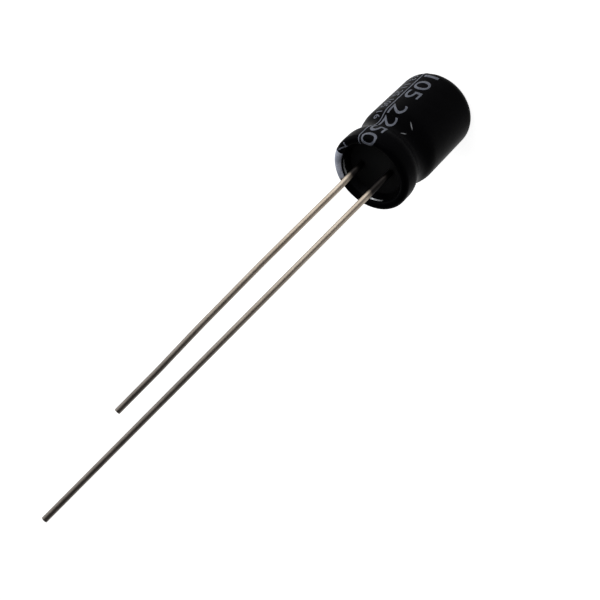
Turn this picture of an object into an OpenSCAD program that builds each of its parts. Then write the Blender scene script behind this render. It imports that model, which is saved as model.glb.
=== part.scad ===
// Radial aluminium electrolytic capacitor with uncut leads, standing on its closed end with the leads up.
// Lengths are millimetres and angles are degrees. The origin is the middle of the closed end, on the sleeve's lip.
// +X runs from the cathode lead to the anode lead, and +Z runs from the closed end to the leads.

/* [Can] */
// Outer diameter of the drawn aluminium can
can_d = 6.3; // [5.8:0.05:8]
// Height of the whole body, from the sleeve's lip to the top of the rim
body_h = 10.6; // [10:0.1:16]
// Thickness of the can's side wall
can_wall = 0.2; // [0.14:0.01:0.22]
// Thickness of the can's closed end
can_base_t = 0.3; // [0.2:0.05:0.5]
// Outer radius of the edge round the closed end
can_corner_r = 1; // [0.6:0.05:1.1]
// Length of each of the two crossed score lines in the closed end, which let it open under pressure
vent_l = 3; // [2:0.1:3.4]
// Width of a score line
vent_w = 0.24; // [0.1:0.02:0.3]
// Depth of a score line
vent_depth = 0.12; // [0.06:0.01:0.15]

/* [Bead groove] */
// Distance from the top of the rim down to the bottom of the groove
bead_below_rim = 2.65; // [2.6:0.05:3]
// Depth of the groove below the can's side
bead_depth = 0.37; // [0.2:0.01:0.4]
// Length of the long slope between the groove and the can's side
bead_slope_side = 1.7; // [1.2:0.1:2.4]
// Length of the short slope between the groove and the rim
bead_slope_rim = 1.5; // [1.1:0.05:1.6]
// How much smaller the radius is above the groove than at the side
neck_step = 0.03; // [0:0.01:0.1]

/* [Curled rim] */
// Outer radius of the fold that curls the can's mouth inwards
fold_r = 0.28; // [0.24:0.01:0.32]
// Angle through which the mouth is folded, before its leg runs straight down to the bung
fold_angle = 155; // [150:1:180]
// Depth of the bung's face below the top of the rim
bung_recess = 1; // [0.8:0.05:1.2]

/* [Sleeve] */
// Thickness of the shrunk sleeve
sleeve_t = 0.1; // [0.06:0.01:0.14]
// How far the sleeve's lip reaches in over the flat of the closed end
sleeve_lip = 0.5; // [0.2:0.05:1]
// How far the sleeve goes on down the leg inside the curled rim
sleeve_tuck = 0.05; // [0.05:0.05:0.45]

/* [Print] */
// Thickness of the ink, drawn thick enough to be a solid
ink_t = 0.02; // [0.01:0.005:0.04]
// Angle through which the print wraps over the curled rim
ink_wrap = 140; // [95:5:150]
// Angle round the can that the negative stripe covers
stripe_angle = 50; // [30:1:70]
// Number of minus signs left bare in the stripe
minus_count = 3; // [1:1:4]
// Length of a minus sign along the can
minus_len = 1.1; // [0.6:0.1:1.4]
// Width of a minus sign round the can
minus_w = 0.42; // [0.2:0.02:0.8]
// Place of the thin line round the can, from the anode's side
line_at = 104; // [90:1:120]
// Width of the thin line
line_w = 0.1; // [0.06:0.01:0.2]

/* [Bung] */
// Thickness of the rubber bung
bung_t = 2.6; // [2.2:0.1:2.9]
// How deep the lead wire goes into the bung
wire_seal = 0.8; // [0.5:0.1:1.2]

/* [Wound element] */
// Gap between the winding and the can's side wall
roll_play = 0.4; // [0.35:0.01:0.8]
// Diameter of the hole that the winding pin leaves
pin_hole_d = 0.8; // [0.6:0.1:1.2]
// Gap between the top of the winding and the bung
roll_gap = 0.8; // [0.7:0.1:1.4]
// How far the paper stands past the foil at each end
paper_margin = 0.4; // [0.2:0.05:0.6]
// Distance from one turn of paper to the next
turn_pitch = 0.25; // [0.2:0.01:0.4]
// Thickness of the paper between two turns of foil
paper_t = 0.09; // [0.05:0.01:0.14]
// Thickness of the closing tape
tape_t = 0.06; // [0.03:0.01:0.1]
// Width of the closing tape
tape_w = 3.6; // [2:0.1:4]
// Angle of the tape's second layer, where its end is stuck down
tape_lap = 70; // [20:5:120]

/* [Tabs] */
// Diameter of the round boss that passes through the bung
boss_d = 1; // [0.8:0.05:1.2]
// Length of the boss below the bung
boss_out = 0.1; // [0.05:0.05:0.15]
// Width of the flat blade
blade_w = 1.5; // [1.1:0.05:1.6]
// Thickness of the flat blade
blade_t = 0.22; // [0.15:0.01:0.3]
// Distance from the end of the blade to the foot of the winding
blade_margin = 1.6; // [0.6:0.1:2.5]
// Height of the pressed shoulder between the boss and the blade
shoulder_h = 0.5; // [0.3:0.05:0.55]
// Thickness of that shoulder where it leaves the boss
shoulder_t = 0.66; // [0.4:0.02:0.78]
// Height of the weld between the boss and the lead
weld_h = 0.25; // [0.15:0.05:0.4]
// Clearance round the blade in the winding
blade_fit = 0.02; // [0.01:0.01:0.05]

/* [Leads] */
// Diameter of the tinned lead wire
lead_d = 0.5; // [0.4:0.05:0.6]
// Distance between the two leads at the bung
lead_pitch = 2.5; // [2:0.1:2.7]
// Length of the anode lead above the bung, along the wire
anode_lead_l = 36.4; // [28:0.1:42]
// Length of the cathode lead above the bung, along the wire
cathode_lead_l = 25.2; // [23:0.1:30]
// Straight length of lead above the bung, before the bend
lead_stub = 0.35; // [0.2:0.05:1]
// Angle by which the leads are bent over
lead_lean = 35; // [10:1:40]
// Direction in which the leads are bent over, round from +X
lead_lean_at = 233; // [180:1:270]
// Radius of that bend, at the middle of the wire
lead_bend_r = 0.9; // [0.6:0.05:1.5]
// Radius of the slight kinks further along the cathode lead
kink_r = 12; // [6:1:20]
// How much thinner the wire is where it was bent
bend_thin = 0.004; // [0.004:0.002:0.02]

/* [Hidden] */
$fn = 96;
arc_step = 15;
// How far a cutting shape runs past what it cuts
cut_past = 1;

can_r = can_d / 2;
neck_r = can_r - neck_step;
groove_r = can_r - bead_depth;
can_base_z = sleeve_t;
can_floor_z = can_base_z + can_base_t;
bare_disc_r = can_r - can_corner_r - sleeve_lip;
rim_z = body_h - sleeve_t;
bead_z = body_h - bead_below_rim;
side_top_z = bead_z - bead_slope_side;
neck_z = bead_z + bead_slope_rim;
bung_top_z = body_h - bung_recess;
bung_z = bung_top_z - bung_t;
weld_top_z = bung_top_z - wire_seal;
boss_top_z = weld_top_z - weld_h;
shoulder_top_z = bung_z - boss_out;
blade_top_z = shoulder_top_z - shoulder_h;
roll_top_z = bung_z - roll_gap;
roll_h = roll_top_z - can_floor_z;
roll_d = can_d - 2 * can_wall - 2 * roll_play;
foil_h = roll_h - 2 * paper_margin;
first_turn_r = (pin_hole_d + paper_t) / 2;
edge_inset = 0.01;
turns = floor((roll_d / 2 - first_turn_r - paper_t - edge_inset) / turn_pitch);
blade_z = can_floor_z + blade_margin;
line_angle = 2 * asin(line_w / 2 / can_r);
bend_grip = 0.04;

// How far each lead's bend is turned from the shared direction
anode_turn = -0.6;
cathode_turn = 1.9;

// Kinks of the cathode lead: the straight before it, and its angle, which is positive towards the anode lead
cathode_kinks = [[1.4, -2], [7.9, 0.9], [6.5, 1.05], [4.3, -1.3]];

function sum(list, i = 0) = i < len(list) ? list[i] + sum(list, i + 1) : 0;

// Steps of a wire: straight length, then a bend of this angle, in this direction from the lean, at this radius.
// The last straight is what is left of the lead's length.
function lead_steps(length, turn, kinks = []) = concat(
    [[lead_stub + wire_seal, lead_lean, turn, lead_bend_r]],
    [for (k = kinks) [k[0], abs(k[1]), k[1] > 0 ? 90 : -90, kink_r]],
    [[length - lead_stub - lead_bend_r * lead_lean * PI / 180 - sum([for (k = kinks) k[0]]), 0, 0, 0]]
);

// Points of an arc about a centre, from one angle to another, in steps of arc_step or less
function arc(centre, r, from, to) =
    let (steps = max(1, ceil(abs(to - from) / arc_step)))
    [for (i = [0:steps]) let (a = from + (to - from) * i / steps) centre + r * [cos(a), sin(a)]];

// Angle and radius of the two equal arcs that make a slope of this depth and length
function slope_angle(depth, length) = 2 * atan(depth / length);
function slope_radius(depth, length) = length / 2 / sin(slope_angle(depth, length));

side_a = slope_angle(bead_depth, bead_slope_side);
side_arc_r = slope_radius(bead_depth, bead_slope_side);
rim_a = slope_angle(neck_r - groove_r, bead_slope_rim);
rim_arc_r = slope_radius(neck_r - groove_r, bead_slope_rim);

// The can's outer surface moved outwards by o: the edge of the closed end, the side with its groove, and the fold
function corner_line(o) =
    arc([can_r - can_corner_r, can_base_z + can_corner_r], can_corner_r + o, -90, 0);
function side_line(o) = concat(
    arc([can_r - side_arc_r, side_top_z], side_arc_r + o, 0, side_a),
    arc([groove_r + side_arc_r, bead_z], side_arc_r - o, 180 + side_a, 180),
    arc([groove_r + rim_arc_r, bead_z], rim_arc_r - o, 180 - rim_a / 2, 180 - rim_a),
    arc([neck_r - rim_arc_r, neck_z], rim_arc_r + o, -rim_a, 0)
);
function fold_line(o, wrap) = arc([neck_r - fold_r, rim_z - fold_r], fold_r + o, 0, wrap);

// Where the leg's surface, moved outwards by o, is at this depth below the end of the fold, and where it meets the bung
function leg_point(o, drop) = [
    neck_r - fold_r + (fold_r + o) * cos(fold_angle) - drop * tan(180 - fold_angle),
    rim_z - fold_r + (fold_r + o) * sin(fold_angle) - drop
];
function leg_foot(o) = leg_point(o, rim_z - fold_r + (fold_r + o) * sin(fold_angle) - bung_top_z);
function backwards(points) = [for (i = [len(points) - 1:-1:0]) points[i]];

module can_profile() {
    outside = concat(
        [[0, can_base_z]],
        corner_line(0),
        side_line(0),
        fold_line(0, fold_angle),
        [leg_foot(0)]
    );
    inside = concat(
        [leg_foot(-can_wall)],
        backwards(fold_line(-can_wall, fold_angle)),
        backwards(side_line(-can_wall)),
        backwards(corner_line(-can_wall)),
        [[0, can_base_z + can_wall]]
    );
    polygon(concat(outside, inside));
    intersection() {
        polygon(concat([[0, can_base_z]], corner_line(0), [[0, can_base_z + can_corner_r]]));
        translate([0, can_base_z])
            square([can_r, can_base_t]);
    }
}

// Wedge that cuts one score line into the outside of the closed end
module vent_score() {
    linear_extrude(vent_l, center = true)
        polygon([
            [0, can_base_z + vent_depth],
            [vent_w, can_base_z - vent_depth],
            [-vent_w, can_base_z - vent_depth]
        ]);
}

// What fills the can from its floor to the underside of its rim
module cavity_profile() {
    intersection() {
        polygon(concat(
            [[0, can_base_z]],
            corner_line(-can_wall),
            side_line(-can_wall),
            [[neck_r - can_wall, rim_z], [0, rim_z]]
        ));
        translate([0, can_floor_z])
            square([can_r, rim_z - can_floor_z]);
    }
}

module sleeve() {
    color("#101114")
        rotate_extrude()
            polygon(concat(
                [[bare_disc_r, 0]],
                corner_line(sleeve_t),
                side_line(sleeve_t),
                fold_line(sleeve_t, fold_angle),
                [leg_point(sleeve_t, sleeve_tuck), leg_point(0, sleeve_tuck)],
                backwards(fold_line(0, fold_angle)),
                backwards(side_line(0)),
                backwards(corner_line(0)),
                [[bare_disc_r, sleeve_t]]
            ));
}

// A film of ink on the sleeve, over this angle, centred on +X
module ink_band(angle) {
    rotate([0, 0, -angle / 2])
        rotate_extrude(angle = angle)
            polygon(concat(
                [[can_r + sleeve_t + ink_t, can_base_z + can_corner_r]],
                side_line(sleeve_t + ink_t),
                fold_line(sleeve_t + ink_t, ink_wrap),
                backwards(fold_line(sleeve_t, ink_wrap)),
                backwards(side_line(sleeve_t)),
                [[can_r + sleeve_t, can_base_z + can_corner_r]]
            ));
}

module sleeve_print() {
    first_z = can_base_z + can_corner_r;
    space = (side_top_z - first_z) / minus_count;
    color("#7b8298") {
        rotate([0, 0, 180])
            difference() {
                ink_band(stripe_angle);
                for (i = [0:minus_count - 1])
                    translate([can_r, -minus_w / 2, first_z + (i + 0.5) * space - minus_len / 2])
                        cube([cut_past, minus_w, minus_len]);
            }
        rotate([0, 0, line_at])
            ink_band(line_angle);
    }
}

module can() {
    color("#c9cbcd")
        difference() {
            rotate_extrude()
                can_profile();
            for (turn = [45, 135])
                rotate([90, 0, turn])
                    vent_score();
        }
}

module at_leads() {
    for (side = [-1, 1])
        translate([side * lead_pitch / 2, 0, 0])
            children();
}

module bung() {
    color("#17171a")
        difference() {
            rotate_extrude()
                intersection() {
                    cavity_profile();
                    translate([0, bung_z])
                        square([can_r, bung_t]);
                }
            at_leads() {
                translate([0, 0, bung_z - cut_past])
                    cylinder(h = boss_top_z - bung_z + cut_past, d = boss_d);
                translate([0, 0, boss_top_z])
                    cylinder(h = weld_h, d1 = boss_d, d2 = lead_d);
                translate([0, 0, weld_top_z])
                    cylinder(h = wire_seal + cut_past, d = lead_d);
            }
        }
}

// The paper's edge as half rings about two centres, which makes a spiral of true cylinders
module paper_edge(h) {
    for (i = [0:turns - 1]) {
        r = first_turn_r + i * turn_pitch;
        rotate_extrude(angle = 180)
            translate([r, 0])
                square([paper_t, h]);
        translate([turn_pitch / 2, 0, 0])
            rotate([0, 0, 180])
                rotate_extrude(angle = 180)
                    translate([r + turn_pitch / 2, 0])
                        square([paper_t, h]);
    }
}

module wound_element() {
    color("#b9a37e")
        difference() {
            union() {
                translate([0, 0, can_floor_z + paper_margin])
                    cylinder(h = foil_h, d = roll_d);
                translate([0, 0, can_floor_z])
                    paper_edge(paper_margin);
                translate([0, 0, roll_top_z - paper_margin])
                    paper_edge(paper_margin);
            }
            cylinder(h = body_h, d = pin_hole_d);
            at_leads()
                translate([-blade_t / 2 - blade_fit, -blade_w / 2 - blade_fit, blade_z])
                    cube([blade_t + 2 * blade_fit, blade_w + 2 * blade_fit, body_h]);
        }
}

module closing_tape() {
    tape_z = (can_floor_z + roll_top_z - tape_w) / 2;
    color("#d9c27a")
        translate([0, 0, tape_z]) {
            difference() {
                cylinder(h = tape_w, d = roll_d + 2 * tape_t);
                translate([0, 0, -cut_past])
                    cylinder(h = tape_w + 2 * cut_past, d = roll_d);
            }
            rotate_extrude(angle = tape_lap)
                translate([roll_d / 2 + tape_t, 0])
                    square([tape_t, tape_w]);
        }
}

// Boss, weld cone, pressed shoulder and blade of one tab, on its own axis
module tab() {
    translate([0, 0, shoulder_top_z])
        cylinder(h = boss_top_z - shoulder_top_z, d = boss_d);
    translate([0, 0, boss_top_z])
        cylinder(h = weld_h, d1 = boss_d, d2 = lead_d);
    intersection() {
        rotate([90, 0, 90])
            translate([0, 0, -boss_d])
                linear_extrude(2 * boss_d)
                    polygon([
                        [-blade_w / 2, blade_top_z],
                        [blade_w / 2, blade_top_z],
                        [boss_d / 2, shoulder_top_z],
                        [-boss_d / 2, shoulder_top_z]
                    ]);
        rotate([90, 0, 0])
            translate([0, 0, -blade_w])
                linear_extrude(2 * blade_w)
                    polygon([
                        [-blade_t / 2, blade_top_z],
                        [blade_t / 2, blade_top_z],
                        [shoulder_t / 2, shoulder_top_z],
                        [-shoulder_t / 2, shoulder_top_z]
                    ]);
    }
    translate([-blade_t / 2, -blade_w / 2, blade_z])
        cube([blade_t, blade_w, blade_top_z - blade_z]);
}

module anode_tab() {
    color("#b4b6b8")
        translate([lead_pitch / 2, 0, 0])
            tab();
}

module cathode_tab() {
    color("#b4b6b8")
        translate([-lead_pitch / 2, 0, 0])
            tab();
}

// A wire that starts at the origin along +Z and follows its steps one after another.
// Each bend is a little thinner than the straight wire and reaches bend_grip into it at both ends.
module wire(steps, i = 0) {
    straight = steps[i][0];
    bend = steps[i][1];
    towards = steps[i][2];
    r = steps[i][3];
    cylinder(h = straight, d = lead_d);
    if (bend > 0)
        translate([0, 0, straight])
            rotate([0, 0, towards]) {
                grip_angle = bend_grip / r * 180 / PI;
                translate([r, 0, 0])
                    rotate([90, 0, 0])
                        rotate([0, 0, 180 - bend - grip_angle])
                            rotate_extrude(angle = bend + 2 * grip_angle)
                                translate([r, 0])
                                    circle(d = lead_d - bend_thin);
                translate([r * (1 - cos(bend)), 0, r * sin(bend)])
                    rotate([0, bend, 0])
                        rotate([0, 0, -towards])
                            wire(steps, i + 1);
            }
}

module anode_lead() {
    color("#b7b0a6")
        translate([lead_pitch / 2, 0, weld_top_z])
            rotate([0, 0, lead_lean_at])
                wire(lead_steps(anode_lead_l, anode_turn));
}

module cathode_lead() {
    color("#b7b0a6")
        translate([-lead_pitch / 2, 0, weld_top_z])
            rotate([0, 0, lead_lean_at])
                wire(lead_steps(cathode_lead_l, cathode_turn, cathode_kinks));
}

sleeve();
sleeve_print();
can();
bung();
wound_element();
closing_tape();
anode_tab();
cathode_tab();
anode_lead();
cathode_lead();
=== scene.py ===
# Radial electrolytic capacitor, standing on its closed end with its two long leads bent over to one side.
# The file follows the part as it is put together: winding, tape, tabs, leads, bung, can, sleeve and print.
# The camera comes before them and the studio after them.
import math

import bmesh
import bpy
from mathutils import Matrix, Vector, noise


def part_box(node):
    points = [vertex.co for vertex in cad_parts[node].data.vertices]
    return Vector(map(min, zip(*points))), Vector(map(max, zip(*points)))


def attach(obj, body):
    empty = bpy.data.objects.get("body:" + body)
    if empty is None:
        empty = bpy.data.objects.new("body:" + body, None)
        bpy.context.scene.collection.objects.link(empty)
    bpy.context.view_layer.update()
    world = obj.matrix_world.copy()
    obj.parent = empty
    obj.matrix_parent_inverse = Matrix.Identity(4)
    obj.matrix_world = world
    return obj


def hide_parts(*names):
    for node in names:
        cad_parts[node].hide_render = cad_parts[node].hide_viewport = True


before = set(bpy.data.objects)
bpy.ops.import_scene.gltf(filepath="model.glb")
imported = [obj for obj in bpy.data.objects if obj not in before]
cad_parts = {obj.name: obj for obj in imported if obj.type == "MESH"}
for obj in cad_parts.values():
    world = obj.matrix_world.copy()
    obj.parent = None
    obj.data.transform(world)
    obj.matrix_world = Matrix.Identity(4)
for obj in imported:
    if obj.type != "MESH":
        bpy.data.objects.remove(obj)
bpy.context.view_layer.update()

mm = 0.001


# Camera.
# A 60 mm lens on 36 mm wide film gives 1000 picture points to the radian, as the body's outline asks.
# It looks down on the mouth of the can, turned so that the leads run to the lower left of the picture.
focal_length = 60
film_width = 36
nearest_seen = 1 * mm
farthest_seen = 20
camera_at = Vector((34.302, 43.307, 61.097)) * mm
looks_along = Vector((-0.4789, -0.6696, -0.5677)).normalized()
picture_down = Vector((0.3236, -0.7358, 0.5949))
picture_right = picture_down.cross(looks_along).normalized()
picture_up = picture_right.cross(looks_along)

lens = bpy.data.cameras.new("photo_lens")
lens.lens = focal_length
lens.sensor_width = film_width
lens.clip_start = nearest_seen
lens.clip_end = farthest_seen
camera = bpy.data.objects.new("photo_camera", lens)
camera.matrix_world = Matrix((picture_right, picture_up, -looks_along)).transposed().to_4x4()
camera.location = camera_at
bpy.context.scene.collection.objects.link(camera)
bpy.context.scene.camera = camera
bpy.context.scene.view_settings.view_transform = "Standard"


# Wound element.
# Grey etched foil and two cream papers wound up together and soaked, so the roll's ends are cream spirals.
# It is wound up first, with a tab stitched to each foil, and fills the can below the bung.
def linear(hex_colour):
    """Linear RGBA of an sRGB colour written as six hex digits."""
    parts = [int(hex_colour[i:i + 2], 16) / 255 for i in (0, 2, 4)]
    return [c / 12.92 if c <= 0.04045 else ((c + 0.055) / 1.055) ** 2.4 for c in parts] + [1.0]


def add(tree, kind, inputs=None, **settings):
    """Adds a node with its settings; each input takes a plain value or another node's output."""
    made = tree.nodes.new(kind)
    for name, value in settings.items():
        setattr(made, name, value)
    for name, value in (inputs or {}).items():
        if isinstance(value, bpy.types.NodeSocket):
            tree.links.new(value, made.inputs[name])
        else:
            made.inputs[name].default_value = value
    return made


# Sockets of a node that mixes colours, by their places, since other sockets of the node have the same names.
share, first, second = 0, 6, 7
mixed = 2


def start_material(name, **surface):
    """Starts a material with its shader's own values; gives it with its tree, its shader and the place."""
    material = bpy.data.materials.new(name)
    material.use_nodes = True
    tree = material.node_tree
    shader = tree.nodes["Principled BSDF"]
    for socket, value in surface.items():
        shader.inputs[socket.replace("_", " ")].default_value = value
    place = add(tree, "ShaderNodeTexCoord").outputs["Object"]
    return material, tree, shader, place


def coat(piece, material):
    """Gives a piece one material in all of its slots."""
    if not piece.material_slots:
        piece.data.materials.append(material)
    for slot in piece.material_slots:
        slot.material = material


def soaked_winding():
    """Etched foil is matt grey; paper standing past it at both ends is cream, darker where it is damp."""
    damp_patch = 0.9 * mm
    fibre = 0.05 * mm
    paper_margin = 0.4 * mm
    dark_foil = linear("6e6f71")
    light_foil = linear("8f9092")
    damp_paper = linear("a98f63")
    dry_paper = linear("d3c19a")
    low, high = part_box("wound_element")
    material, tree, shader, place = start_material("etched_foil_and_damp_paper", Roughness=0.62)
    height = add(tree, "ShaderNodeSeparateXYZ", {"Vector": place}).outputs["Z"]
    above = add(tree, "ShaderNodeMath", {0: height, 1: high.z - paper_margin}, operation="GREATER_THAN")
    below = add(tree, "ShaderNodeMath", {0: height, 1: low.z + paper_margin}, operation="LESS_THAN")
    paper = add(tree, "ShaderNodeMath", {0: above.outputs[0], 1: below.outputs[0]}, operation="ADD")
    damp = add(tree, "ShaderNodeTexNoise", {"Vector": place, "Scale": 1 / damp_patch}).outputs["Fac"]
    grain = add(tree, "ShaderNodeTexNoise", {"Vector": place, "Scale": 1 / fibre}).outputs["Fac"]
    foil = add(tree, "ShaderNodeMix", {share: damp, first: dark_foil, second: light_foil}, data_type="RGBA")
    cream = add(tree, "ShaderNodeMix", {share: damp, first: damp_paper, second: dry_paper}, data_type="RGBA")
    colour = add(tree, "ShaderNodeMix", {
        share: paper.outputs[0], first: foil.outputs[mixed], second: cream.outputs[mixed]}, data_type="RGBA")
    bump = add(tree, "ShaderNodeBump", {"Height": grain, "Strength": 0.3, "Distance": 0.01 * mm})
    tree.links.new(colour.outputs[mixed], shader.inputs["Base Color"])
    tree.links.new(bump.outputs["Normal"], shader.inputs["Normal"])
    return material


coat(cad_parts["wound_element"], soaked_winding())


# Closing tape.
# A strip of clear amber polyester film stuck round the middle of the roll, its end lapped over its start.
# It holds the last turn of the winding down.
def polyester_tape():
    """Clear amber film over grey foil, smooth, with faint pull marks round the roll."""
    pull_mark = 0.3 * mm
    mark_length = 10 * mm
    dark_film = linear("b99a48")
    light_film = linear("d2b866")
    material, tree, shader, place = start_material("polyester_tape", Roughness=0.25, IOR=1.6)
    marks = add(tree, "ShaderNodeMapping", {
        "Vector": place, "Scale": (1 / mark_length, 1 / mark_length, 1 / pull_mark)}).outputs["Vector"]
    pulled = add(tree, "ShaderNodeTexNoise", {"Vector": marks, "Scale": 1.0}).outputs["Fac"]
    colour = add(tree, "ShaderNodeMix", {
        share: pulled, first: dark_film, second: light_film}, data_type="RGBA")
    tree.links.new(colour.outputs[mixed], shader.inputs["Base Color"])
    return material


coat(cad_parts["closing_tape"], polyester_tape())


# Tabs.
# Two aluminium wires, each pressed flat below and stitched to a foil of the winding.
# The part left round above is the boss that passes through the bung.
def pressed_aluminium():
    """Aluminium wire flattened in a press: softer shine than the can, with a fine pebbled grain."""
    pebble = 0.08 * mm
    dark_grain = linear("a5a7aa")
    light_grain = linear("c3c5c7")
    material, tree, shader, place = start_material("pressed_aluminium", Metallic=1.0)
    pebbles = add(tree, "ShaderNodeTexNoise", {"Vector": place, "Scale": 1 / pebble}).outputs["Fac"]
    colour = add(tree, "ShaderNodeMix", {
        share: pebbles, first: dark_grain, second: light_grain}, data_type="RGBA")
    rough = add(tree, "ShaderNodeMapRange", {"Value": pebbles, "To Min": 0.35, "To Max": 0.5})
    tree.links.new(colour.outputs[mixed], shader.inputs["Base Color"])
    tree.links.new(rough.outputs["Result"], shader.inputs["Roughness"])
    return material


tab_metal = pressed_aluminium()
for tab in ("anode_tab", "cathode_tab"):
    coat(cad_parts[tab], tab_metal)


# Leads.
# Steel wire 0.5 mm thick, tinned, welded to the tabs inside the bung and bent over just above it.
# The anode's is the longer; both are sheared square, and the cathode's has four slight kinks.
wire_radius = 0.25 * mm
lead_pitch = 2.5 * mm
lead_foot_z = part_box("anode_lead")[0].z
stub = 1.15 * mm
bend_radius = 0.9 * mm
kink_radius = 12 * mm
lean = 35
lean_towards = 233
# Each step is a straight length, then a bend in degrees, the way it goes in degrees, and its radius.
anode_steps = [(stub, lean, -0.6, bend_radius), (35.5 * mm, 0, 0, 0)]
cathode_steps = [
    (stub, lean, 1.9, bend_radius),
    (1.4 * mm, 2, -90, kink_radius),
    (7.9 * mm, 0.9, 90, kink_radius),
    (6.5 * mm, 1.05, 90, kink_radius),
    (4.3 * mm, 1.3, -90, kink_radius),
    (4.2 * mm, 0, 0, 0),
]


def place_piece(name, bm, smooth=True):
    """Closes a bmesh into a new object at the origin, with its place in its mesh."""
    sharp_from = 35
    mesh = bpy.data.meshes.new(name)
    bm.to_mesh(mesh)
    bm.free()
    piece = bpy.data.objects.new(name, mesh)
    bpy.context.scene.collection.objects.link(piece)
    if smooth:
        mesh.shade_smooth()
        mesh.set_sharp_from_angle(angle=math.radians(sharp_from))
    return piece


def draw_wire(name, start_x, steps):
    """Extrudes a round section along its straights, a millimetre at a time, and spins it round its bends.
    The tin lies unevenly, so the wire is a few microns thinner in places."""
    sides = 48
    degrees_a_ring = 4
    weld_within = 0.001 * mm
    unevenness = 0.006 * mm
    uneven_every = 1.5 * mm
    bm = bmesh.new()
    ring = bmesh.ops.create_circle(bm, segments=sides, radius=wire_radius, cap_ends=True)["verts"]
    foot = Vector((start_x, 0, lead_foot_z))
    bmesh.ops.translate(bm, verts=ring, vec=foot)
    turn = Matrix.Rotation(math.radians(lean_towards), 3, "Z")
    edges = bm.edges[:]
    for straight, bend, towards, radius in steps:
        along = turn @ Vector((0, 0, 1))
        cuts = max(1, round(straight / mm))
        for _ in range(cuts):
            grown = bmesh.ops.extrude_edge_only(bm, edges=edges)["geom"]
            ring = [g for g in grown if isinstance(g, bmesh.types.BMVert)]
            grown_edges = [g for g in grown if isinstance(g, bmesh.types.BMEdge)]
            edges = [e for e in grown_edges if all(v in ring for v in e.verts)]
            bmesh.ops.translate(bm, verts=ring, vec=along * straight / cuts)
        foot = foot + along * straight
        if bend:
            angle = math.radians(bend)
            sideways = Matrix.Rotation(math.radians(towards), 3, "Z")
            inwards = turn @ sideways @ Vector((1, 0, 0))
            spun = bmesh.ops.spin(
                bm, geom=ring + edges, cent=foot + inwards * radius, axis=along.cross(inwards),
                angle=angle, steps=max(1, round(bend / degrees_a_ring)), use_merge=False)["geom_last"]
            ring = [g for g in spun if isinstance(g, bmesh.types.BMVert)]
            edges = [g for g in spun if isinstance(g, bmesh.types.BMEdge)]
            foot = foot + inwards * radius * (1 - math.cos(angle)) + along * radius * math.sin(angle)
            turn = turn @ sideways @ Matrix.Rotation(angle, 3, "Y") @ sideways.inverted()
    bmesh.ops.contextual_create(bm, geom=edges)
    bmesh.ops.remove_doubles(bm, verts=bm.verts, dist=weld_within)
    bm.normal_update()
    for v in bm.verts:
        v.co -= v.normal * unevenness * (0.5 + 0.5 * noise.noise(v.co / uneven_every))
    bmesh.ops.recalc_face_normals(bm, faces=bm.faces)
    return place_piece(name, bm)


def tinned_steel():
    """Dull hot-dipped tin, warm near the body and darker towards the tips; its foot is painted black as the
    shadow of the rim.
    """
    grain_size = 0.12 * mm
    blotch = 1.6 * mm
    dark_tin = linear("877a6c")
    light_tin = linear("ada498")
    # The tin's colour goes darker and greyer towards the tips, between these two heights.
    dark_tip_tone = linear("4e4a46")
    light_tip_tone = linear("716b65")
    # Painted shadow: each lead's foot is coloured black below a slanted height, where the rim shades it.
    painted_rim_shadow_black = linear("1f1d1c")
    bright_below = 14 * mm
    darkest_above = 27 * mm
    rim_shadow_below = 11.6 * mm
    rim_shadow_fade = 0.25 * mm
    rim_shadow_slant = 0.35
    material, tree, shader, place = start_material("tinned_steel", Metallic=1.0)
    parts = add(tree, "ShaderNodeSeparateXYZ", {"Vector": place}).outputs
    slanted = add(tree, "ShaderNodeMath", {
        0: parts["X"], 1: -rim_shadow_slant, 2: parts["Z"]}, operation="MULTIPLY_ADD").outputs[0]
    outside_rim_shadow = add(tree, "ShaderNodeMapRange", {
        "Value": slanted, "From Min": rim_shadow_below - rim_shadow_fade, "From Max": rim_shadow_below + rim_shadow_fade})
    grain = add(tree, "ShaderNodeTexNoise", {
        "Vector": place, "Scale": 1 / grain_size, "Detail": 3.0}).outputs["Fac"]
    blotches = add(tree, "ShaderNodeTexNoise", {
        "Vector": place, "Scale": 1 / blotch, "Detail": 3.0}).outputs["Fac"]
    tip_darkening = add(tree, "ShaderNodeMapRange", {
        "Value": parts["Z"], "From Min": bright_below, "From Max": darkest_above})
    bright = add(tree, "ShaderNodeMix", {
        share: blotches, first: dark_tin, second: light_tin}, data_type="RGBA")
    tip_tone = add(tree, "ShaderNodeMix", {
        share: blotches, first: dark_tip_tone, second: light_tip_tone}, data_type="RGBA")
    tin = add(tree, "ShaderNodeMix", {
        share: tip_darkening.outputs["Result"], first: bright.outputs[mixed], second: tip_tone.outputs[mixed],
    }, data_type="RGBA")
    # Painted shadow: black below the slanted height, tin above it.
    colour = add(tree, "ShaderNodeMix", {
        share: outside_rim_shadow.outputs["Result"], first: painted_rim_shadow_black, second: tin.outputs[mixed]}, data_type="RGBA")
    rough = add(tree, "ShaderNodeMapRange", {"Value": grain, "To Min": 0.28, "To Max": 0.5})
    bump = add(tree, "ShaderNodeBump", {"Height": grain, "Strength": 0.35, "Distance": 0.006 * mm})
    tree.links.new(colour.outputs[mixed], shader.inputs["Base Color"])
    tree.links.new(rough.outputs["Result"], shader.inputs["Roughness"])
    tree.links.new(bump.outputs["Normal"], shader.inputs["Normal"])
    return material


lead_metal = tinned_steel()
for name, start_x, steps, node in (
    ("tinned_anode_lead", lead_pitch / 2, anode_steps, "anode_lead"),
    ("tinned_cathode_lead", -lead_pitch / 2, cathode_steps, "cathode_lead"),
):
    lead = draw_wire(name, start_x, steps)
    coat(lead, lead_metal)
    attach(lead, "root")
    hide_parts(node)


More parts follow.
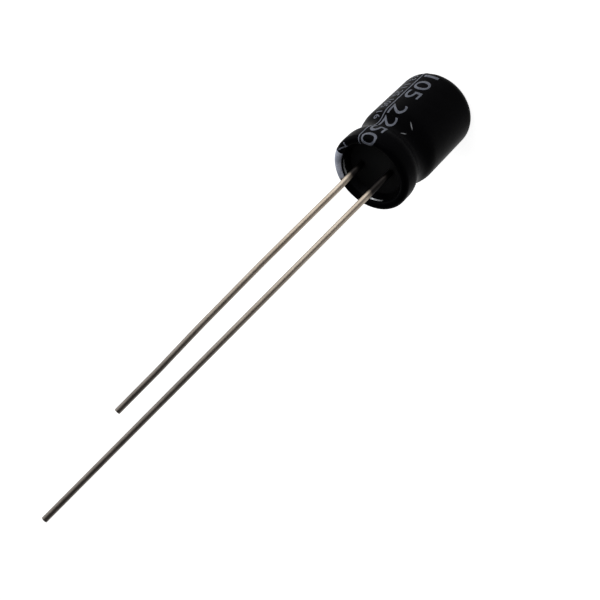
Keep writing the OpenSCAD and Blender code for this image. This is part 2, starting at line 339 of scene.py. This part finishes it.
# Bung.
# A thick disc of black rubber that the can's bead and curl hold tight, with a hole for each tab and lead.
# It sits well below the rim, so it is nearly always in shadow.
def moulded_rubber():
    """Carbon-black rubber from a blasted mould: matt, finely grained, with a faint grey bloom."""
    mould_grain = 0.07 * mm
    bloom_patch = 0.8 * mm
    plain_black = linear("070708")
    bloomed_black = linear("0f0f10")
    material, tree, shader, place = start_material("moulded_rubber", Specular_IOR_Level=0.15)
    grain = add(tree, "ShaderNodeTexNoise", {
        "Vector": place, "Scale": 1 / mould_grain, "Detail": 3.0}).outputs["Fac"]
    bloom = add(tree, "ShaderNodeTexNoise", {"Vector": place, "Scale": 1 / bloom_patch}).outputs["Fac"]
    colour = add(tree, "ShaderNodeMix", {
        share: bloom, first: plain_black, second: bloomed_black}, data_type="RGBA")
    rough = add(tree, "ShaderNodeMapRange", {"Value": grain, "To Min": 0.5, "To Max": 0.72})
    bump = add(tree, "ShaderNodeBump", {"Height": grain, "Strength": 0.4, "Distance": 0.01 * mm})
    tree.links.new(colour.outputs[mixed], shader.inputs["Base Color"])
    tree.links.new(rough.outputs["Result"], shader.inputs["Roughness"])
    tree.links.new(bump.outputs["Normal"], shader.inputs["Normal"])
    return material


coat(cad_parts["bung"], moulded_rubber())


# Can.
# One cup, deep drawn from bright aluminium, beaded round the bung and curled over at its mouth.
# The sleeve covers it apart from the disc of its closed end and the last of the curl, inside the mouth.
def drawn_aluminium():
    """Bright aluminium, deep drawn: fine streaks along the axis, which stretch its highlights.
    Inside the mouth the curl is painted black as shade, apart from two places just under the sleeve, left
    bare to catch highlights."""
    streak_across = 0.06 * mm
    streak_along = 2.5 * mm
    dark_streak = linear("b9bcc0")
    light_streak = linear("dcdee0")
    # Painted shade: the curl inside the mouth is coloured black, as it sits in shadow.
    painted_mouth_shade_black = linear("0b0b0c")
    mouth_radius = 2.85 * mm
    mouth_shade_from = 9 * mm
    curl_radius = 2.55 * mm
    curl_height = 10.25 * mm
    glints_above = 10.14 * mm
    full_glint_share = 0.7
    # Each place left bare for a highlight has its angle round the can, how far it reaches, and how bare it is
    # at most.
    glint_places = ((187, 0.85 * mm, 0.35), (276, 0.62 * mm, 1.0))
    material, tree, shader, place = start_material("drawn_aluminium", Metallic=1.0)
    stretched = add(tree, "ShaderNodeMapping", {
        "Vector": place,
        "Scale": (1 / streak_across, 1 / streak_across, 1 / streak_along),
    }).outputs["Vector"]
    streaks = add(tree, "ShaderNodeTexNoise", {
        "Vector": stretched, "Scale": 1.0, "Detail": 3.0}).outputs["Fac"]
    metal = add(tree, "ShaderNodeMix", {
        share: streaks, first: dark_streak, second: light_streak}, data_type="RGBA")
    rough = add(tree, "ShaderNodeMapRange", {"Value": streaks, "To Min": 0.2, "To Max": 0.38})
    bump = add(tree, "ShaderNodeBump", {"Height": streaks, "Strength": 0.15, "Distance": 0.003 * mm})
    height = add(tree, "ShaderNodeSeparateXYZ", {"Vector": place}).outputs["Z"]
    level = add(tree, "ShaderNodeVectorMath", {0: place, 1: (1, 1, 0)}, operation="MULTIPLY")
    radius = add(tree, "ShaderNodeVectorMath", {
        0: level.outputs["Vector"]}, operation="LENGTH").outputs["Value"]
    glint_mask = 0.0
    for angle, reach, glint_strength in glint_places:
        middle = Matrix.Rotation(math.radians(angle), 3, "Z") @ Vector((curl_radius, 0, curl_height))
        away = add(tree, "ShaderNodeVectorMath", {0: place, 1: middle}, operation="DISTANCE").outputs["Value"]
        here = add(tree, "ShaderNodeMapRange", {
            "Value": away, "From Min": reach, "From Max": reach * full_glint_share, "To Max": glint_strength,
        }).outputs["Result"]
        glint_mask = add(tree, "ShaderNodeMath", {0: glint_mask, 1: here}, operation="MAXIMUM").outputs[0]
    above = add(tree, "ShaderNodeMath", {0: height, 1: glints_above}, operation="GREATER_THAN").outputs[0]
    glint_mask = add(tree, "ShaderNodeMath", {0: glint_mask, 1: above}, operation="MULTIPLY").outputs[0]
    # Painted shade: black everywhere inside the mouth except the two places left bare for highlights.
    painted_mouth_shade = add(tree, "ShaderNodeMath", {0: 1.0, 1: glint_mask}, operation="SUBTRACT").outputs[0]
    for value, limit, side in ((radius, mouth_radius, "LESS_THAN"), (height, mouth_shade_from, "GREATER_THAN")):
        inside = add(tree, "ShaderNodeMath", {0: value, 1: limit}, operation=side).outputs[0]
        painted_mouth_shade = add(tree, "ShaderNodeMath", {0: painted_mouth_shade, 1: inside}, operation="MULTIPLY").outputs[0]
    colour = add(tree, "ShaderNodeMix", {
        share: painted_mouth_shade, first: metal.outputs[mixed], second: painted_mouth_shade_black}, data_type="RGBA")
    tree.links.new(colour.outputs[mixed], shader.inputs["Base Color"])
    tree.links.new(rough.outputs["Result"], shader.inputs["Roughness"])
    tree.links.new(bump.outputs["Normal"], shader.inputs["Normal"])
    return material


coat(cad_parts["can"], drawn_aluminium())


# Sleeve.
# A tube of thin black PVC film shrunk on with heat, so it follows the bead and holds the can at both ends:
# it folds over the edge of the closed end, and over the curled rim and down inside it.
can_radius = 3.15 * mm
film = 0.1 * mm
corner_radius = 1 * mm
lip_reach = 0.5 * mm
lip_rings = 4
bead_below_rim = 2.65 * mm
bead_depth = 0.37 * mm
bead_slope_side = 1.7 * mm
bead_slope_rim = 1.5 * mm
neck_step = 0.03 * mm
fold_radius = 0.28 * mm
fold_angle = 155
tuck = 0.05 * mm
shrink_ripple = 0.012 * mm
ripple_every = 0.7 * mm
body_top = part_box("sleeve")[1].z


def arc(centre_r, centre_z, radius, start, end, degrees_a_step=5):
    """Points (r, z) of an arc in the can's half section."""
    steps = max(2, round(abs(end - start) / degrees_a_step))
    angles = [math.radians(start + (end - start) * i / steps) for i in range(steps + 1)]
    return [(centre_r + radius * math.cos(a), centre_z + radius * math.sin(a)) for a in angles]


def slope(depth, length):
    """Angle and radius of the two equal arcs that make a slope."""
    angle = 2 * math.atan(depth / length)
    return math.degrees(angle), length / 2 / math.sin(angle)


def side_line(out):
    """The can's side and its bead groove, moved outwards, from the edge of the closed end to the neck."""
    neck_radius = can_radius - neck_step
    groove_radius = can_radius - bead_depth
    bead_z = body_top - bead_below_rim
    side_angle, side_arc = slope(bead_depth, bead_slope_side)
    rim_angle, rim_arc = slope(neck_radius - groove_radius, bead_slope_rim)
    wall_foot = film + corner_radius
    wall_top = bead_z - bead_slope_side
    wall_rows = 12
    wall_heights = [wall_foot + (wall_top - wall_foot) * i / wall_rows for i in range(1, wall_rows)]
    return (
        [(can_radius + out, z) for z in wall_heights]
        + arc(can_radius - side_arc, wall_top, side_arc + out, 0, side_angle)
        + arc(groove_radius + side_arc, bead_z, side_arc - out, 180 + side_angle, 180)[1:]
        + arc(groove_radius + rim_arc, bead_z, rim_arc - out, 180, 180 - rim_angle)[1:]
        + arc(neck_radius - rim_arc, bead_z + bead_slope_rim, rim_arc + out, -rim_angle, 0)[1:]
    )


def fold_line(out, wrap):
    """The fold over the curled rim, moved outwards."""
    neck_radius = can_radius - neck_step
    rim_z = body_top - film
    return arc(neck_radius - fold_radius, rim_z - fold_radius, fold_radius + out, 0, wrap, degrees_a_step=12)


def spin_line(points, angle=360, steps=144):
    """Spins a half section about the can's axis, from +X on, into an open shell."""
    bm = bmesh.new()
    line = [bm.verts.new((r, 0, z)) for r, z in points]
    edges = [bm.edges.new(pair) for pair in zip(line, line[1:])]
    bmesh.ops.spin(
        bm, geom=line + edges, cent=(0, 0, 0), axis=(0, 0, 1),
        angle=math.radians(angle), steps=steps, use_merge=angle == 360)
    bmesh.ops.recalc_face_normals(bm, faces=bm.faces)
    return bm


def face_outwards(bm):
    """Turns an open shell round if its widest face looks at the can's axis."""
    widest = max(bm.faces, key=lambda f: f.calc_center_median().xy.length)
    middle = widest.calc_center_median()
    if widest.normal.x * middle.x + widest.normal.y * middle.y < 0:
        bmesh.ops.reverse_faces(bm, faces=bm.faces)


def thicken(piece, thickness, offset):
    """Gives an open shell its wall: offset -1 grows it inwards and 1 outwards."""
    wall = piece.modifiers.new("wall", "SOLIDIFY")
    wall.thickness = thickness
    wall.offset = offset
    wall.use_even_offset = True


def shrunk_pvc():
    """Black film that mirrors little: a skin grained where heat pulled it tight, and two scuffs painted light
    grey as the glints they catch.
    """
    skin_grain = 0.11 * mm
    ripple = 0.9 * mm
    deep_black = linear("030304")
    soft_black = linear("070709")
    scuff_glint_white = linear("a9abb0")
    scuff_width = 0.12 * mm
    scuff_glint_strength = 0.8
    full_scuff_glint_at = 0.3
    scuff_ends_mm = (
        (Vector((1.29, 2.6, 8.16)), Vector((1.66, 2.37, 7.76))),
        (Vector((1.39, 2.86, 6.81)), Vector((1.83, 2.39, 7.27))),
    )
    material, tree, shader, place = start_material("shrunk_pvc_film", Specular_IOR_Level=0.007)
    grain = add(tree, "ShaderNodeTexNoise", {
        "Vector": place, "Scale": 1 / skin_grain, "Detail": 2.0}).outputs["Fac"]
    ripples = add(tree, "ShaderNodeTexNoise", {
        "Vector": place, "Scale": 1 / ripple, "Detail": 2.0}).outputs["Fac"]
    colour = add(tree, "ShaderNodeMix", {
        share: ripples, first: deep_black, second: soft_black}, data_type="RGBA")
    # Scuffs in the film, painted light grey as the glints that they catch.
    for one_end, other_end in scuff_ends_mm:
        along = other_end - one_end
        scuff_place = add(tree, "ShaderNodeMapping", {
            "Vector": place,
            "Location": (one_end + other_end) / 2 * mm,
            "Rotation": along.to_track_quat("X", "Z").to_euler(),
            "Scale": (along.length / 2 * mm, scuff_width / 2, scuff_width / 2),
        }, vector_type="TEXTURE").outputs["Vector"]
        reach = add(tree, "ShaderNodeVectorMath", {0: scuff_place}, operation="LENGTH").outputs["Value"]
        scuff_glint = add(tree, "ShaderNodeMapRange", {
            "Value": reach, "From Min": 1.0, "From Max": full_scuff_glint_at, "To Max": scuff_glint_strength,
        }).outputs["Result"]
        colour = add(tree, "ShaderNodeMix", {
            share: scuff_glint, first: colour.outputs[mixed], second: scuff_glint_white}, data_type="RGBA")
    rough = add(tree, "ShaderNodeMapRange", {"Value": grain, "To Min": 0.2, "To Max": 0.42})
    coarse = add(tree, "ShaderNodeBump", {"Height": ripples, "Strength": 0.4, "Distance": 0.02 * mm})
    bump = add(tree, "ShaderNodeBump", {
        "Height": grain, "Strength": 0.5, "Distance": 0.008 * mm, "Normal": coarse.outputs["Normal"]})
    tree.links.new(colour.outputs[mixed], shader.inputs["Base Color"])
    tree.links.new(rough.outputs["Result"], shader.inputs["Roughness"])
    tree.links.new(bump.outputs["Normal"], shader.inputs["Normal"])
    return material


fold_end_r, fold_end_z = fold_line(film, fold_angle)[-1]
leg_end = (fold_end_r - tuck * math.tan(math.radians(180 - fold_angle)), fold_end_z - tuck)
lip_line = [(can_radius - corner_radius - lip_reach * k / lip_rings, 0) for k in range(lip_rings, 0, -1)]
sleeve_line = (
    lip_line
    + arc(can_radius - corner_radius, film + corner_radius, corner_radius + film, -90, 0)
    + side_line(film)
    + fold_line(film, fold_angle)
    + [leg_end]
)
shell = spin_line(sleeve_line)
face_outwards(shell)
for v in shell.verts:
    if v.co.z > film:
        v.co -= v.normal * shrink_ripple * (0.5 + 0.5 * noise.noise(v.co / ripple_every))
sleeve = place_piece("shrunk_sleeve", shell)
thicken(sleeve, film - shrink_ripple, -1)
coat(sleeve, shrunk_pvc())
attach(sleeve, "root")
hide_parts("sleeve")


# Print.
# Grey ink rolled onto the flat tube before it was shrunk: a wide stripe with bare minus signs down the
# cathode's side, and, nearly a quarter round from it, a thin line between rows of plain numbers.
ink = 0.014 * mm
ink_lift = 0.004 * mm
ink_from = -70
ink_wrap = 138
stripe_angle = 50
stripe_at = 180
minus_count = 3
minus_length = 1.1 * mm
minus_width = 0.42 * mm
line_at = 104
line_width = 0.1 * mm
# Each row has its figures, their height, the angle that their tops look towards, its start and its length.
number_rows = (
    ("105 2250", 1.25 * mm, 78, 0.75 * mm, 10.7 * mm),
    ("63 11 25 105 16", 0.62 * mm, 109, 1.3 * mm, 6.4 * mm),
    ("7", 1.1 * mm, 132, 10.9 * mm, 0.5 * mm),
)
ink_line = (
    arc(can_radius - corner_radius, film + corner_radius, corner_radius + film + ink_lift, ink_from, 0)
    + side_line(film + ink_lift)
    + fold_line(film + ink_lift, ink_wrap)[1:]
)


def printed_ink(name, thin_colour, full_colour):
    """Blue-grey ink on film: matt, a little thin and uneven where the roller left less of it."""
    speck = 0.09 * mm
    patch = 0.6 * mm
    material, tree, shader, place = start_material(name, Specular_IOR_Level=0.25)
    specks = add(tree, "ShaderNodeTexNoise", {
        "Vector": place, "Scale": 1 / speck, "Detail": 2.0}).outputs["Fac"]
    patches = add(tree, "ShaderNodeTexNoise", {"Vector": place, "Scale": 1 / patch}).outputs["Fac"]
    both = add(tree, "ShaderNodeMath", {0: specks, 1: patches}, operation="MULTIPLY").outputs[0]
    full = add(tree, "ShaderNodeMapRange", {"Value": both, "From Min": 0.15, "From Max": 0.35})
    colour = add(tree, "ShaderNodeMix", {
        share: full.outputs["Result"], first: linear(thin_colour), second: linear(full_colour),
    }, data_type="RGBA")
    rough = add(tree, "ShaderNodeMapRange", {"Value": specks, "To Min": 0.4, "To Max": 0.6})
    tree.links.new(colour.outputs[mixed], shader.inputs["Base Color"])
    tree.links.new(rough.outputs["Result"], shader.inputs["Roughness"])
    return material


def turn(bm, angle):
    """Turns a mesh about the can's axis."""
    bmesh.ops.rotate(bm, verts=bm.verts, cent=(0, 0, 0), matrix=Matrix.Rotation(math.radians(angle), 3, "Z"))


def ink_band(angle):
    """A band of ink this wide in degrees, along the whole can and over its rim, with its middle at +X."""
    degrees_a_step = 2.5
    bm = spin_line(ink_line, angle, max(1, round(angle / degrees_a_step)))
    turn(bm, -angle / 2)
    return bm


def cut_flat(bm, point, direction):
    """Cuts every face along a plane."""
    counts_as_on_it = 0.0001 * mm
    geometry = bm.verts[:] + bm.edges[:] + bm.faces[:]
    bmesh.ops.bisect_plane(bm, geom=geometry, dist=counts_as_on_it, plane_co=point, plane_no=direction)


def along_ink_line(distance):
    """The point (r, z) of the sleeve's outside this far from where the ink starts at the closed end."""
    for (r0, z0), (r1, z1) in zip(ink_line, ink_line[1:]):
        step = math.hypot(r1 - r0, z1 - z0)
        if distance <= step:
            return r0 + (r1 - r0) * distance / step, z0 + (z1 - z0) * distance / step
        distance -= step
    return ink_line[-1]


def print_numbers(text, height, top_at, start, length):
    """Numbers in Blender's own font, stretched to this length, cut fine both ways and laid on the sleeve.
    They read from the closed end to the rim, and the tops of the figures look towards the angle top_at."""
    figure_share = 0.7
    weld_within = 0.0001 * mm
    cut_every = 0.15 * mm
    curve = bpy.data.curves.new("type", "FONT")
    curve.body = text
    curve.size = height / figure_share
    typed = bpy.data.objects.new("type", curve)
    bpy.context.scene.collection.objects.link(typed)
    bpy.context.view_layer.update()
    flat = bpy.data.meshes.new_from_object(typed.evaluated_get(bpy.context.evaluated_depsgraph_get()))
    bpy.data.objects.remove(typed)
    bm = bmesh.new()
    bm.from_mesh(flat)
    bmesh.ops.remove_doubles(bm, verts=bm.verts, dist=weld_within)
    stretch = length / max(v.co.x for v in bm.verts)
    bmesh.ops.scale(bm, vec=(stretch, 1, 1), verts=bm.verts)
    for i in range(1, int(length / cut_every) + 1):
        cut_flat(bm, (i * cut_every, 0, 0), (1, 0, 0))
    for i in range(1, int(height / cut_every) + 1):
        cut_flat(bm, (0, i * cut_every, 0), (0, 1, 0))
    for v in bm.verts:
        r, z = along_ink_line(start + v.co.x)
        angle = math.radians(top_at) + (height - v.co.y) / (can_radius + film)
        v.co = (r * math.cos(angle), r * math.sin(angle), z)
    bmesh.ops.recalc_face_normals(bm, faces=bm.faces)
    face_outwards(bm)
    return bm


def merge(target, other):
    """Adds another bmesh to the first."""
    mesh = bpy.data.meshes.new("merged")
    other.to_mesh(mesh)
    other.free()
    target.from_mesh(mesh)
    bpy.data.meshes.remove(mesh)


stripe = ink_band(stripe_angle)
first_z = film + corner_radius
space = (body_top - bead_below_rim - bead_slope_side - first_z) / minus_count
for side in (-1, 1):
    cut_flat(stripe, (0, side * minus_width / 2, 0), (0, 1, 0))
for i in range(minus_count):
    middle = first_z + (i + 0.5) * space
    for end in (-1, 1):
        cut_flat(stripe, (0, 0, middle + end * minus_length / 2), (0, 0, 1))
    inside = [
        f for f in stripe.faces
        if abs(f.calc_center_median().y) < minus_width / 2
        and abs(f.calc_center_median().z - middle) < minus_length / 2
    ]
    bmesh.ops.delete(stripe, geom=inside, context="FACES")
turn(stripe, stripe_at)
face_outwards(stripe)
thin_line = ink_band(math.degrees(line_width / can_radius))
turn(thin_line, line_at)
face_outwards(thin_line)

stripes = place_piece("printed_stripes", stripe)
thicken(stripes, ink, 1)
numbers = print_numbers(*number_rows[0])
for row in number_rows[1:]:
    merge(numbers, print_numbers(*row))
merge(numbers, thin_line)
rows = place_piece("printed_numbers", numbers)
thicken(rows, ink, 1)
# One grey ink in two tones: lighter on the band and darker on the type and thin line, painted to stand for
# how the lamp lights each.
coat(stripes, printed_ink("printed_ink_band_painted_lighter", thin_colour="a0a6b7", full_colour="cdd2e2"))
coat(rows, printed_ink("printed_ink_type_painted_darker", thin_colour="4f535e", full_colour="6b6f7b"))
for piece in (stripes, rows):
    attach(piece, "root")
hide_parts("sleeve_print")


# Studio.
# A white floor that keeps a soft shadow, with a white wall far round it, in a dim grey room.
# One wide soft lamp hangs low on the side of the thin line.
floor_size = 1.5
floor_sides = 64
floor_drop = 0.02 * mm
floor_glow = 0.88
wall_height = 0.6
room_light = 0.12


def hang_lamp(name, azimuth, elevation, distance, width, height, power):
    """A soft rectangular lamp at this bearing from the part's middle, turned to face it."""
    aim = Vector((0, 0, 10 * mm))
    lamp = bpy.data.lights.new(name, "AREA")
    lamp.shape = "RECTANGLE"
    lamp.size = width
    lamp.size_y = height
    lamp.energy = power
    holder = bpy.data.objects.new(name, lamp)
    a, e = math.radians(azimuth), math.radians(elevation)
    away = Vector((math.cos(a) * math.cos(e), math.sin(a) * math.cos(e), math.sin(e)))
    holder.location = aim + away * distance
    holder.rotation_euler = away.to_track_quat("Z", "Y").to_euler()
    bpy.context.scene.collection.objects.link(holder)


def matt_white_card():
    """Matt white card that glows only to the eye and in mirrors, so it looks white and keeps its shadow."""
    material, tree, shader, _ = start_material(
        "matt_white_card", Base_Color=linear("f2f2f2"), Roughness=0.9, Specular_IOR_Level=0.0,
        Emission_Color=(1, 1, 1, 1))
    seen = add(tree, "ShaderNodeLightPath").outputs
    direct = add(tree, "ShaderNodeMath", {
        0: seen["Is Camera Ray"], 1: seen["Is Glossy Ray"]}, operation="ADD")
    shown = add(tree, "ShaderNodeMath", {
        0: direct.outputs[0], 1: seen["Is Transmission Ray"]}, operation="ADD", use_clamp=True)
    glow = add(tree, "ShaderNodeMath", {0: shown.outputs[0], 1: floor_glow}, operation="MULTIPLY")
    tree.links.new(glow.outputs[0], shader.inputs["Emission Strength"])
    return material


backdrop = bmesh.new()
bmesh.ops.create_circle(backdrop, cap_ends=True, segments=floor_sides, radius=floor_size)
raised = bmesh.ops.extrude_edge_only(backdrop, edges=backdrop.edges[:])["geom"]
wall_top = [g for g in raised if isinstance(g, bmesh.types.BMVert)]
bmesh.ops.translate(backdrop, verts=wall_top, vec=(0, 0, wall_height))
bmesh.ops.translate(backdrop, verts=backdrop.verts, vec=(0, 0, -floor_drop))
bmesh.ops.recalc_face_normals(backdrop, faces=backdrop.faces)
floor = place_piece("studio_floor", backdrop, smooth=False)
coat(floor, matt_white_card())

hang_lamp("wide_side_lamp", azimuth=122, elevation=24, distance=0.3, width=0.7, height=0.26, power=1.09)

world = bpy.data.worlds.new("grey_room")
world.use_nodes = True
background = world.node_tree.nodes["Background"]
background.inputs["Color"].default_value = (1, 1, 1, 1)
background.inputs["Strength"].default_value = room_light
bpy.context.scene.world = world
